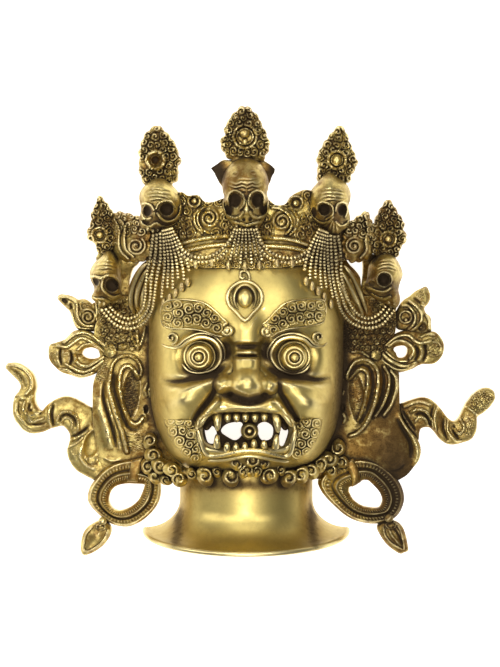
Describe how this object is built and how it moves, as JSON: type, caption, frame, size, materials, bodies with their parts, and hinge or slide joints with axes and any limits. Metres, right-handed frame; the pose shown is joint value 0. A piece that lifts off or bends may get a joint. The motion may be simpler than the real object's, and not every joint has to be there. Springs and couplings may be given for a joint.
{
  "type": "deity mask",
  "caption": "Hollow cast wall mask of a wrathful deity with a brow eye, skull crown, flame finials, fanged open mouth, long ears, ring earrings, flying scarves and a flared neck.",
  "frame": {"origin": "middle of the mask's bounding box, in the plane of the back rim that it lies on", "axes": "+X to the viewer's right across the scarves, +Y towards the crown, +Z out of the face"},
  "size_m": [0.328, 0.2946, 0.1002],
  "materials": {
    "brass": "antique brass, polished on the high places and dark in the recesses"
  },
  "bodies": {
    "root": {"deity_mask": "brass"}
  },
  "joints": []
}
